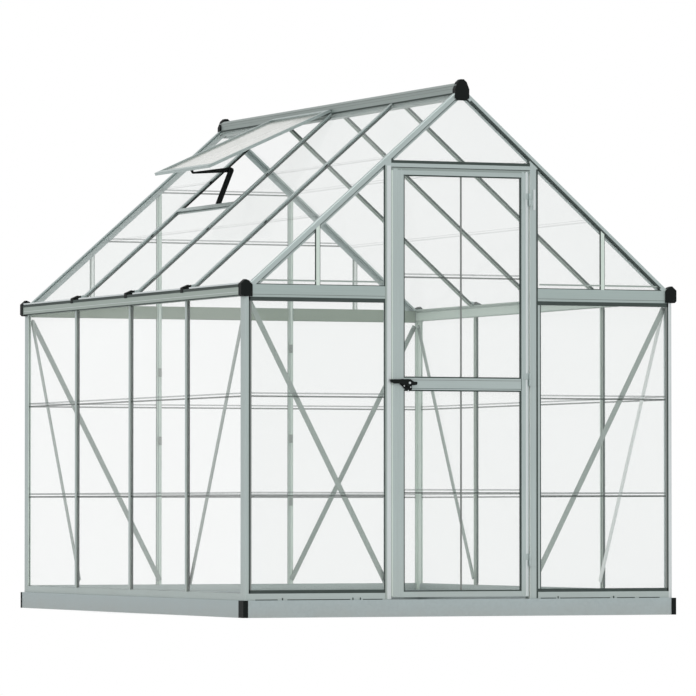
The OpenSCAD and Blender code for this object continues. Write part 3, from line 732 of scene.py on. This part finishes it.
# new piece: (node that it stands for, material, how far its edges are rounded)
softSet = {
    "softCornerCovers": ("base_corner_covers", blackPlastic, 0.0008),
    "softEaveCaps": ("eave_caps", blackPlastic, 0.0016),
    "softRidgeCaps": ("ridge_caps", blackPlastic, 0.002),
    "softBarCaps": ("bar_end_caps", blackPlastic, 0.0018),
    "softStay": ("vent_stay", blackPlastic, 0.0008),
    "softLatchPlate": ("latch_plate", blackPlastic, 0.0012),
    "softLatchLever": ("latch_lever", blackPlastic, 0.0014),
    "softHingePins": ("hinge_pins", barAlong["Z"], 0.0004),
    "softHingeKnuckles": ("hinge_knuckles", barAlong["Z"], 0.0004),
    "softBaseFront": ("base_front", baseSteel, 0.0012),
    "softBaseBack": ("base_back", baseSteel, 0.0012),
    "softBaseLeft": ("base_left", baseSteel, 0.0012),
    "softBaseRight": ("base_right", baseSteel, 0.0012),
}
for name, (node, material, width) in softSet.items():
    softened(node, name, material, width)
print("edges softened")

# ---- clear sheets with pressed ribs ----

ribSet = {
    "flat": 0.0058,  # width of a rib's crown
    "side": 0.0062,  # width of each of its flanks
    "height": 0.0021,
    "sheet": 0.001,  # thickness of the sheet
    "depth": 0.0026,  # how far inside the pane's outer face the sheet lies
}


def pressRib(bm, outward, rise, level):
    # pushes out a rib across the sheets, with its middle at a level along rise
    flat, side = ribSet["flat"] / 2, ribSet["side"]
    for offset in (-flat - side, -flat, flat, flat + side):
        bmesh.ops.bisect_plane(bm, geom=bm.verts[:] + bm.edges[:] + bm.faces[:],
                               plane_co=rise * (level + offset), plane_no=rise)
    for v in bm.verts:
        if abs(v.co.dot(rise) - level) < flat + side / 2:
            v.co += outward * ribSet["height"]


def ribbedSheet(name, node, outward, rise, levels, upper=ribPlastic, lower=ribShade,
                flat=clearPlastic):
    # thin sheets in place of a node's panes, with ribs whose flanks have their own materials; by default
    # the lower flank is darker, painted shade
    bm = outerFaces(node, outward)
    bmesh.ops.translate(bm, verts=bm.verts, vec=-outward * ribSet["depth"])
    for level in levels:
        pressRib(bm, outward, rise, level)
    bm.normal_update()
    for face in bm.faces:
        if face.normal.dot(outward) < 0.95:
            face.material_index = 1 if face.normal.dot(rise) > 0 else 2
    sheet = finishPiece(bm, name, [flat, upper, lower], bodyOf(node),
                        ribSet["sheet"])
    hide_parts(node)
    return sheet


def thirds(low, high):
    return [low + (high - low) / 3, low + (high - low) * 2 / 3]


# levels of the ribs up each wall, gable and slope
wallThirds = thirds(sillTop, eaveZ)
roofLow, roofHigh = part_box("roof_glass_right")
slopeFoot = Vector((roofHigh.x, 0, roofLow.z)).dot(slopeUp)
roofRibs = [slopeFoot + 0.414, slopeFoot + 0.757]
backGableRibs = [1.55, 1.762]
doorLow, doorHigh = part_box("door_glass")
midRail = {"low": 0.873, "high": 0.919}  # lower and upper edge of the door's middle rail
doorRibs = [(doorLow.z + midRail["low"]) / 2, (midRail["high"] + doorHigh.z) / 2]

# the left wall's sheets are the paler copy: a painted sheen
ribbedSheet("sheetsLeftWall", "glass_left", left, up, wallThirds, flat=clearerPlastic)
ribbedSheet("sheetsRightWall", "glass_right", right, up, wallThirds)
ribbedSheet("sheetsFrontWall", "glass_front", front, up, wallThirds)
ribbedSheet("sheetsBackWall", "glass_back", back, up, wallThirds)
ribbedSheet("sheetsFrontGable", "gable_glass_front", front, up, [])
ribbedSheet("sheetsBackGable", "gable_glass_back", back, up, backGableRibs)
ribbedSheet("sheetsLeftSlope", "roof_glass_left", slopeLeft, slopeUpLeft, roofRibs, faintRib, faintRib)
ribbedSheet("sheetsRightSlope", "roof_glass_right", slopeRight, slopeUp, roofRibs, faintRib, faintRib)
ribbedSheet("sheetsDoor", "door_glass", front, up, doorRibs)


# shallow waves of the vent's sheet, each (size, turns of phase up the sheet, and across it)
ventWaves = ((0.22, 5, 9), (0.16, 14, -4))


def saggingSheet(name, node, outward, rise, along, sag):
    # a soft sheet that hangs a little between its edges, with shallow waves
    bm = outerFaces(node, outward)
    bmesh.ops.translate(bm, verts=bm.verts, vec=-outward * ribSet["depth"])
    bmesh.ops.subdivide_edges(bm, edges=bm.edges[:], cuts=23, use_grid_fill=True)
    ups = [v.co.dot(rise) for v in bm.verts]
    sides = [v.co.dot(along) for v in bm.verts]
    for v in bm.verts:
        u = (v.co.dot(rise) - min(ups)) / (max(ups) - min(ups))
        w = (v.co.dot(along) - min(sides)) / (max(sides) - min(sides))
        hang = math.sin(math.pi * u) * math.sin(math.pi * w)
        wave = sum(size * math.sin(a * u + b * w) for size, a, b in ventWaves)
        v.co -= outward * sag * hang * (1 + wave)
    sheet = finishPiece(bm, name, [hazySheet], bodyOf(node), ribSet["sheet"],
                        smooth=True)
    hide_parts(node)
    return sheet


saggingSheet("sheetVent", "vent_glass", ventOut, ventUp, back, 0.004)
print("sheets made")

# ---- gaskets round the sheets, also painted shade at the bars' edges ----

# widths of the hidden edge and of the band that shows, how proud it stands and its thickness
gasketSet = {"hidden": 0.0045, "shows": 0.0034, "proud": 0.0018, "thick": 0.0042}
wallGasket = {"hidden": 0.0045, "shows": 0.0024, "proud": 0.0018, "thick": 0.0042}
doorGasket = {"hidden": 0.0045, "shows": 0.0055, "proud": 0.006, "thick": 0.0085}


def gasketRing(name, node, outward, sizes=gasketSet, material=rubberAndPaintedShade):
    # a band round each sheet of a node, just inside the bars' edges: a gasket, and also painted shade
    # where the bars' lips meet the sheet
    bm = outerFaces(node, outward)
    bmesh.ops.translate(bm, verts=bm.verts, vec=outward * sizes["proud"])
    hidden = bmesh.ops.inset_individual(bm, faces=bm.faces[:], thickness=sizes["hidden"],
                                        use_even_offset=True)["faces"]
    bmesh.ops.delete(bm, geom=hidden, context="FACES")
    inner = bm.faces[:]
    bmesh.ops.inset_individual(bm, faces=inner, thickness=sizes["shows"], use_even_offset=True)
    bmesh.ops.delete(bm, geom=inner, context="FACES")
    return finishPiece(bm, name, [material], bodyOf(node), sizes["thick"])


gasketRing("gasketsFrontWall", "glass_front", front, wallGasket)
gasketRing("gasketsFrontGable", "gable_glass_front", front)
gasketRing("gasketsBackWall", "glass_back", back, gasketSet, innerStrip)
gasketRing("gasketsBackGable", "gable_glass_back", back, gasketSet, innerStrip)
gasketRing("gasketsDoor", "door_glass", front, doorGasket)
print("gaskets made")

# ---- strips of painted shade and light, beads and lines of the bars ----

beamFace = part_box("eave_beams")[1].x
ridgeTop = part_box("ridge_beam")[1].z
barSet = {
    "tieFace": 0.048,  # height of a tie's face
    "cornerFace": 0.015,  # width of a corner post's face on the gable
    "hair": 0.0006,  # how proud a line lies on a face
    "lineBack": 0.002,  # how far behind a face a line goes
    "shadeStripBack": 0.0045,  # how far behind a face a strip of painted shade goes
    "gutterSunk": 0.0025,  # how far behind the gutter's face its strips go
    "ridgeSunk": 0.001,
}
postOut = 0.323  # outer edges of the door posts
postTop = 1.735  # height that the door posts' faces reach
gutterTop = 1.266
ridgeSide = 0.024  # half the width of the ridge beam
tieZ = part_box("glass_front")[1].z - 0.005
tieTop = tieZ + barSet["tieFace"]
cornerX = rightX - barSet["cornerFace"]
postSpan = (baseTop + 0.002, postTop)
wallSpan = (sillTop, tieZ)
leafSpan = (leafLow.z + 0.001, leafHigh.z - 0.001)


def frontBox(x0, x1, y0, y1, z0, z1):
    # corners of a block whose Y is counted inwards from the front wall's outer plane
    return (x0, frontY + y0, z0), (x1, frontY + y1, z1)


def bothSides(x0, x1, *rest):
    # the same block on the left and on the right
    return [frontBox(-x1, -x0, *rest), frontBox(x0, x1, *rest)]


def frontShadeStrips():
    # dark strips along the header, the front sills, the ties and the corner posts: painted shade of the
    # bars' inner lips
    hair, deep, sunk = barSet["hair"], barSet["shadeStripBack"], 0.0004
    made = [frontBox(headLow.x, headHigh.x, -hair, deep, headHigh.z - 0.005, headHigh.z + 0.006)]
    made += bothSides(postOut, cornerX, sunk, deep, sillTop - 0.001, sillTop + 0.013)
    made += bothSides(postOut, cornerX, sunk, deep, tieZ - 0.0155, tieZ + 0.0005)
    made += bothSides(cornerX - 0.006, cornerX + 0.0005, sunk, deep, *wallSpan)
    return made


lineSpans = ((-0.863, -0.771), (-0.731, -0.470), (-0.417, -0.335),
             (0.335, 0.402), (0.419, 0.635), (0.665, 0.742), (0.76, 0.85))
lineClips = (-0.751, -0.459, -0.428, 0.410, 0.650)


def frontLines():
    # thin shadow lines between the base and the front sills, broken by small clips
    hair, deep, half = barSet["hair"], barSet["lineBack"], 0.002
    made = [frontBox(x0, x1, -hair, deep, baseTop + 0.0005, baseTop + 0.0035) for x0, x1 in lineSpans]
    made += [frontBox(x - half, x + half, -half, deep, baseTop, baseTop + 0.009) for x in lineClips]
    return made


# strips of the front gable, each (name, material, body, slot, corners of its blocks)
frontTrims = [
    ("frontShadeStrips", rubberAndPaintedShade, "house", "black_plastic", frontShadeStrips()),
    ("frontLines", rubberAndPaintedShade, "house", "black_plastic", frontLines()),
    # pale line above each tie
    ("tieBeads", innerStrip, "house", "brace_aluminium",
     bothSides(postOut + 0.01, cornerX - 0.03, 0.0008, 0.004, tieTop + 0.0135, tieTop + 0.0195)),
    # outer edge of the left door post
    ("postEdges", innerStrip, "house", "bar_aluminium",
     [frontBox(-postOut - 0.0006, -postOut + 0.0045, -0.0006, 0.0045, *postSpan)]),
    # thin dark lines beside the corner posts' strips, widening that painted shade, and low on the ties'
    # faces
    ("cornerLines", dullBar, "house", "bar_aluminium",
     bothSides(cornerX - 0.0115, cornerX - 0.006, 0.0006, 0.004, *wallSpan)),
    ("tieLines", dullBar, "house", "bar_aluminium",
     bothSides(postOut + 0.002, cornerX - 0.01, -0.0005, 0.002, tieZ + 0.0085, tieZ + 0.0105)),
    # shadow on the header, over the leaf
    ("headShade", ridgeBar, "house", "bar_aluminium",
     [frontBox(headLow.x + 0.001, headHigh.x - 0.001, -0.0006, 0.002, headLow.z, headLow.z + 0.009)]),
    # pale strip on the leaf's latch edge: painted light in the shaded gap beside the leaf
    ("leafGapLight", paleBar, "door", "bar_aluminium",
     [frontBox(leafLow.x - 0.0045, leafLow.x + 0.0005, 0.001, 0.004, leafLow.z + 0.004,
               leafHigh.z - 0.004)]),
    # two dark lines of painted shade on the outer edge of the right door post, and the lip between them
    ("postEdgeShade", rubberAndPaintedShade, "house", "black_plastic",
     [frontBox(postOut - 0.0055, postOut + 0.0012, -0.0006, 0.0045, *postSpan),
      frontBox(postOut + 0.0105, postOut + 0.0145, 0.0006, 0.0048, *wallSpan)]),
    ("postLip", barAlong["Z"], "house", "bar_aluminium",
     [frontBox(postOut + 0.001, postOut + 0.0108, 0.0008, 0.0048, *wallSpan)]),
    # strips on the stops behind the leaf: dark painted shade in the gap over it, and pale painted light in
    # the gaps beside it
    ("headGapShade", rubberAndPaintedShade, "house", "black_plastic",
     [frontBox(headLow.x + 0.013, headHigh.x - 0.013, 0.0165, 0.0208, headLow.z - 0.011,
               headLow.z + 0.002)]),
    ("stopGapLight", paleBar, "house", "bar_aluminium",
     [frontBox(headLow.x - 0.002, headLow.x + 0.010, 0.0166, 0.0208, baseTop + 0.01, headLow.z),
      frontBox(headHigh.x - 0.010, headHigh.x + 0.002, 0.0166, 0.0208, baseTop + 0.01, headLow.z)]),
]
for trim in frontTrims:
    boxes(*trim)


def sideStrips(name, material, slot, face, sunk, spans, strips):
    # strips over spans of Y on the left and right faces of a beam, each (how proud, z0, z1)
    corners = []
    for side in (-1, 1):
        for proud, z0, z1 in strips:
            a, b = sorted((side * (face - sunk), side * (face + proud)))
            corners += [((a, y0, z0), (b, y1, z1)) for y0, y1 in spans]
    return boxes(name, material, "house", slot, corners)


bay = (backY - frontY) / 4
barYs = [frontY + k * bay for k in (1, 2, 3)]
beamEnds = (frontY + 0.03, backY - 0.03)
# the gutter's lip is left out in front of each roof bar's foot
lipStarts = [beamEnds[0]] + [y + 0.0135 for y in barYs]
lipStops = [y - 0.075 for y in barYs] + [beamEnds[1]]
gutterPlace = (beamFace, barSet["gutterSunk"])
ridgePlace = (ridgeSide, barSet["ridgeSunk"], [(frontY + 0.025, backY - 0.025)])
# dark strips along the eave beams' sides: painted shade in the gutter's trough and lower on the beam
sideStrips("gutterShade", rubberAndPaintedShade, "black_plastic", *gutterPlace, [beamEnds],
           [(0.0012, gutterTop - 0.007, gutterTop + 0.004), (0.0006, eaveZ - 0.002, eaveZ + 0.002)])
# the gutter's lip and a line lower on the beam are bright: a painted highlight
sideStrips("gutterLips", brightBar, "bar_aluminium", *gutterPlace, list(zip(lipStarts, lipStops)),
           [(0.0004, gutterTop + 0.004, gutterTop + 0.010)])
sideStrips("beamLines", brightBar, "bar_aluminium", *gutterPlace, [beamEnds],
           [(0.0008, eaveZ + 0.012, eaveZ + 0.0135)])
sideStrips("ridgeLines", dullBar, "bar_aluminium", *ridgePlace,
           [(0.0005, ridgeTop - 0.0125, ridgeTop - 0.0105), (0.0005, ridgeTop - 0.023, ridgeTop - 0.0215)])
# dark strips low on both sides of the ridge beam
sideStrips("ridgeDarkStrips", rubberAndPaintedShade, "black_plastic", *ridgePlace,
           [(0.0022, ridgeTop - 0.044, ridgeTop - 0.038)])

# the right slope's bars: how far out their faces are, and where they start and end up the slope
barPoints = [v.co for v in nodes["roof_bars"].data.vertices if v.co.x > 0]
barOut = max(p.dot(slopeRight) for p in barPoints)
barStart = min(p.dot(slopeUp) for p in barPoints)
barEnd = max(p.dot(slopeUp) for p in barPoints)
slopeTurn = Matrix((slopeUp, back, slopeRight)).transposed().to_4x4()


def addSlopeBlock(bm, y, depth, shorter, width, thick):
    # block up the right slope, shorter than a bar, with its middle at a depth below the bars' faces
    middle = slopeRight * (barOut - depth) + slopeUp * (barStart + barEnd) / 2 + Vector((0, y, 0))
    addBlock(bm, middle, (barEnd - barStart - shorter, width, thick), slopeTurn)


def barShadeStrips():
    # dark strips of painted shade on the front sides of the right slope's bars and the right wall's posts
    bm = bmesh.new()
    halfBar = barYs[0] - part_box("side_posts")[0].y  # with its flanges
    depth, width, thick = 0.0045, 0.004, 0.0075
    for barY in barYs:
        y = barY - halfBar
        addSlopeBlock(bm, y, depth, 0.03, width, thick)
        middle = (rightX - depth, y, (sillTop + eaveZ) / 2)
        addBlock(bm, middle, (thick, width, eaveZ - sillTop - 0.02))
    return finishPiece(bm, "barShadeStrips", [rubberAndPaintedShade], "house")


def rafterShade():
    # dark edge below the face of the right front rafter
    bm = bmesh.new()
    addSlopeBlock(bm, frontY + 0.001, 0.0165, 0.05, 0.003, 0.007)
    return finishPiece(bm, "rafterShade", [rubberAndPaintedShade], "house")


def leafBeads():
    # mouldings up the faces of the door's stiles and of the post beside the latch; the bead by the hinge
    # edge and the post's bead are bright, a painted highlight
    door, edge, post = bmesh.new(), bmesh.new(), bmesh.new()
    addBead(edge, leafHigh.x - 0.0085, frontY, *leafSpan, 0.009, 0.0014)
    for x, width, proud in ((leafLow.x + 0.012, 0.020, 0.0012), (leafLow.x + 0.036, 0.006, 0.0007),
                            (leafHigh.x - 0.025, 0.010, 0.0012)):
        addBead(door, x, frontY, *leafSpan, width, proud)
    addBead(post, headLow.x - 0.009, frontY, *postSpan, 0.016, 0.0012)
    finishPiece(door, "stileBeads", [barAlong["Z"]], "door")
    finishPiece(edge, "edgeBead", [brightBar], "door")
    finishPiece(post, "postBead", [brightBar], "house")


barShadeStrips()
rafterShade()
leafBeads()

railX = (leafLow.x + 0.046, leafHigh.x - 0.031)  # inner edges of the door's stiles
sheetDepth = 0.0085  # from the wall's outer plane to the door's sheets
jointY = (sheetDepth - 0.0022, sheetDepth + 0.004)
doorTrims = [
    # joint up the middle of the leaf's sheets
    ("doorJoint", dullBar, "door", "bar_aluminium",
     [frontBox(-0.0025, 0.0025, *jointY, doorLow.z + 0.006, midRail["low"] - 0.001),
      frontBox(-0.0025, 0.0025, *jointY, midRail["high"] + 0.001, doorHigh.z - 0.006)]),
    # lines near the middle rail's top and foot, and at its hinge end; the dark ones at the foot and the
    # hinge end are painted shade
    ("railLine", dullBar, "door", "bar_aluminium",
     [frontBox(*railX, -0.0004, 0.002, midRail["high"] - 0.009, midRail["high"] - 0.0072)]),
    ("doorLines", rubberAndPaintedShade, "door", "black_plastic",
     [frontBox(*railX, -0.0003, 0.002, midRail["low"] + 0.0045, midRail["low"] + 0.006),
      frontBox(railX[1] - 0.0015, railX[1] + 0.0005, -0.0004, 0.002, midRail["low"], midRail["high"])]),
    # plate on the post beside the top hinge
    ("hingePlate", brightBar, "house", "hinge_steel",
     [frontBox(0.3045, 0.3135, -0.0026, -0.0001, 1.576, 1.656)]),
]
for trim in doorTrims:
    boxes(*trim)
print("seals, beads and lines made")

# ---- screws, nuts and clips ----

nutSet = {"radius": 0.0065, "height": 0.006, "sides": 6, "sideZ": 1.2, "endX": 0.872, "endZ": 1.198}


def addDisc(bm, place, outward, radius, high, segments=16):
    # low round or hexagonal head that stands on a face at place
    spot = Matrix.Translation(Vector(place) + outward * high / 2) @ turnTo(outward)
    bmesh.ops.create_cone(bm, cap_ends=True, segments=segments, radius1=radius, radius2=radius * 0.8,
                          depth=high, matrix=spot)


def wallNuts():
    # hexagonal nuts at the upper ends of the braces
    bm = bmesh.new()
    size = (nutSet["radius"], nutSet["height"], nutSet["sides"])
    sideX = rightX - 0.021
    for side, inward in ((-1, right), (1, left)):
        for y in (frontY + 0.045, backY - 0.045):
            addDisc(bm, (side * sideX, y, nutSet["sideZ"]), inward, *size)
        for y, inward2 in ((frontY + 0.021, back), (backY - 0.021, front)):
            addDisc(bm, (side * nutSet["endX"], y, nutSet["endZ"]), inward2, *size)
    return finishPiece(bm, "nuts", [hingeSteel], "house")


def pillarClips():
    # clips on the inner faces of the back posts
    low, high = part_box("back_posts")
    middleX = high.x - 0.012
    halfX, halfZ = 0.007, 0.018
    y0, y1 = low.y - 0.003, low.y + 0.002
    corners = []
    for side, z in ((-1, 0.992), (-1, 0.703), (1, 1.10), (1, 0.715), (1, 0.447)):
        x = side * middleX
        corners.append(((x - halfX, y0, z - halfZ), (x + halfX, y1, z + halfZ)))
    return boxes("pillarClips", middleBar, "house", "bar_aluminium", corners)


def latchDots():
    # pin of the lever and screws of its plate
    joints = {j["name"]: j for j in frame["record"]["behaviour"]["joints"]}
    x, _, z = joints["latch_turn"]["pos_m"]
    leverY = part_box("latch_lever")[0].y
    bm = bmesh.new()
    addDisc(bm, (x, leverY - 0.0002, z), front, 0.0048, 0.0022)
    finishPiece(bm, "latchPin", [brightBar], "latch")
    bm = bmesh.new()
    for dx, dz in ((-0.003, -0.030), (-0.020, -0.0115), (0.007, -0.016)):
        addDisc(bm, (x + dx, frontY - 0.005, z + dz), front, 0.0034, 0.0012)
    finishPiece(bm, "latchScrews", [brightBar], "door")


def roofClips():
    # small clips where the sheets' ribs meet the roof bars
    bm = bmesh.new()
    for side, outward, rise in ((1, slopeRight, slopeUp), (-1, slopeLeft, slopeUpLeft)):
        for y in barYs:
            foot = Vector((side * roofHigh.x, y, roofLow.z))
            for level in roofRibs:
                spot = foot + rise * (level - slopeFoot) + outward * 0.0005
                addBlock(bm, spot, (0.012, 0.02, 0.006), turnTo(outward))
    return finishPiece(bm, "roofClips", [blackPlastic], "house")


def barNoses(name, material, outline, half):
    # short pieces at the feet of the roof bars, each an outline in X and Z given a width along Y
    bm = bmesh.new()
    for side in (-1, 1):
        for y in barYs:
            corners = [bm.verts.new((side * x, y + dy, z)) for dy in (-half, half) for x, z in outline]
            bmesh.ops.convex_hull(bm, input=corners)
    return finishPiece(bm, name, [material], "house")


wallNuts()
pillarClips()
latchDots()
roofClips()
# a black foot over the gutter's edge, and the end of the bar that runs on from it
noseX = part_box("bar_end_caps")[1].x - 0.0008
footX = noseX - 0.026
endX = noseX - 0.052
barNoses("capFills", blackPlastic,
         [(noseX, 1.264), (noseX, 1.278), (footX, 1.2895), (footX, 1.27)], 0.0115)
barNoses("barFeet", barAlong["X"],
         [(footX + 0.0005, 1.27), (footX + 0.0005, 1.287), (endX, 1.291), (endX, 1.275)], 0.0085)
print("screws, nuts and clips made")

bpy.context.view_layer.update()
